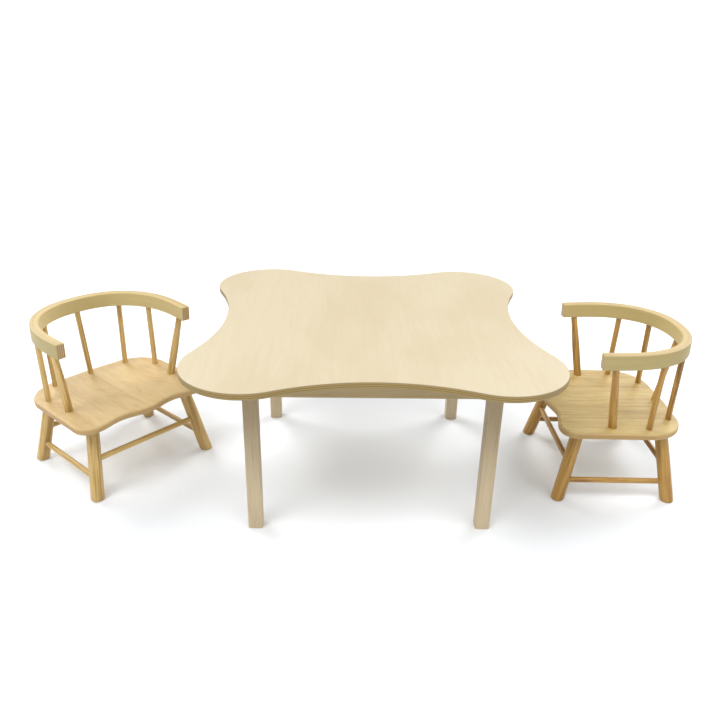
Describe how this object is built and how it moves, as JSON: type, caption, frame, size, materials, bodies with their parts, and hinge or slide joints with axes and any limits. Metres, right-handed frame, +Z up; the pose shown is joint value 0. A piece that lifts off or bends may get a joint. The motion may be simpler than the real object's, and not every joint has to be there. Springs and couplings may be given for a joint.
{
  "type": "kids table and chairs",
  "caption": "Children's plywood table with a scalloped square top on square legs, and low armchairs with bent U-shaped arm rails on turned sticks.",
  "frame": {"origin": "on the floor, under the middle of the whole set's plan", "axes": "+X from the left chair to the right chair, +Y from the table's front apron to its back apron, +Z up"},
  "size_m": [2.0362, 1, 0.507],
  "materials": {
    "birch_plywood": "pale birch plywood, clear satin lacquer, bare layered edge",
    "birch": "solid birch, clear satin lacquer",
    "bent_plywood": "bent laminated beech, clear satin lacquer",
    "lacquered_beech": "solid beech, warm satin lacquer",
    "zinc_plated_steel": "zinc plated"
  },
  "bodies": {
    "table": {"apron_back": "birch", "apron_front": "birch", "apron_left": "birch", "apron_right": "birch", "corner_block_back_left": "birch", "corner_block_back_right": "birch", "corner_block_front_left": "birch", "corner_block_front_right": "birch", "hanger_bolt_back_left": "zinc_plated_steel", "hanger_bolt_back_right": "zinc_plated_steel", "hanger_bolt_front_left": "zinc_plated_steel", "hanger_bolt_front_right": "zinc_plated_steel", "hanger_nut_back_left": "zinc_plated_steel", "hanger_nut_back_right": "zinc_plated_steel", "hanger_nut_front_left": "zinc_plated_steel", "hanger_nut_front_right": "zinc_plated_steel", "table_leg_back_left": "birch", "table_leg_back_right": "birch", "table_leg_front_left": "birch", "table_leg_front_right": "birch", "table_top": "birch_plywood", "top_screw_back_left": "zinc_plated_steel", "top_screw_back_right": "zinc_plated_steel", "top_screw_front_left": "zinc_plated_steel", "top_screw_front_right": "zinc_plated_steel"},
    "left_chair": {"left_chair_arm_post_left": "lacquered_beech", "left_chair_arm_post_right": "lacquered_beech", "left_chair_arm_rail": "bent_plywood", "left_chair_back_spindle_left": "lacquered_beech", "left_chair_back_spindle_middle": "lacquered_beech", "left_chair_back_spindle_right": "lacquered_beech", "left_chair_leg_back_left": "lacquered_beech", "left_chair_leg_back_right": "lacquered_beech", "left_chair_leg_front_left": "lacquered_beech", "left_chair_leg_front_right": "lacquered_beech", "left_chair_seat": "lacquered_beech", "left_chair_side_spindle_left": "lacquered_beech", "left_chair_side_spindle_right": "lacquered_beech", "left_chair_stretcher_back": "lacquered_beech", "left_chair_stretcher_front": "lacquered_beech", "left_chair_stretcher_left": "lacquered_beech", "left_chair_stretcher_right": "lacquered_beech"},
    "right_chair": {"right_chair_arm_post_left": "lacquered_beech", "right_chair_arm_post_right": "lacquered_beech", "right_chair_arm_rail": "bent_plywood", "right_chair_back_spindle_left": "lacquered_beech", "right_chair_back_spindle_middle": "lacquered_beech", "right_chair_back_spindle_right": "lacquered_beech", "right_chair_leg_back_left": "lacquered_beech", "right_chair_leg_back_right": "lacquered_beech", "right_chair_leg_front_left": "lacquered_beech", "right_chair_leg_front_right": "lacquered_beech", "right_chair_seat": "lacquered_beech", "right_chair_side_spindle_left": "lacquered_beech", "right_chair_side_spindle_right": "lacquered_beech", "right_chair_stretcher_back": "lacquered_beech", "right_chair_stretcher_front": "lacquered_beech", "right_chair_stretcher_left": "lacquered_beech", "right_chair_stretcher_right": "lacquered_beech"}
  },
  "joints": [
    {"name": "left_chair_pull_out", "type": "slide", "parent": "table", "child": "left_chair", "axis": [-0.742, 0.6704, 0], "range_m": [-0.12, 0.45]},
    {"name": "right_chair_pull_out", "type": "slide", "parent": "table", "child": "right_chair", "axis": [0.9998, -0.0192, 0], "range_m": [-0.12, 0.45]}
  ]
}
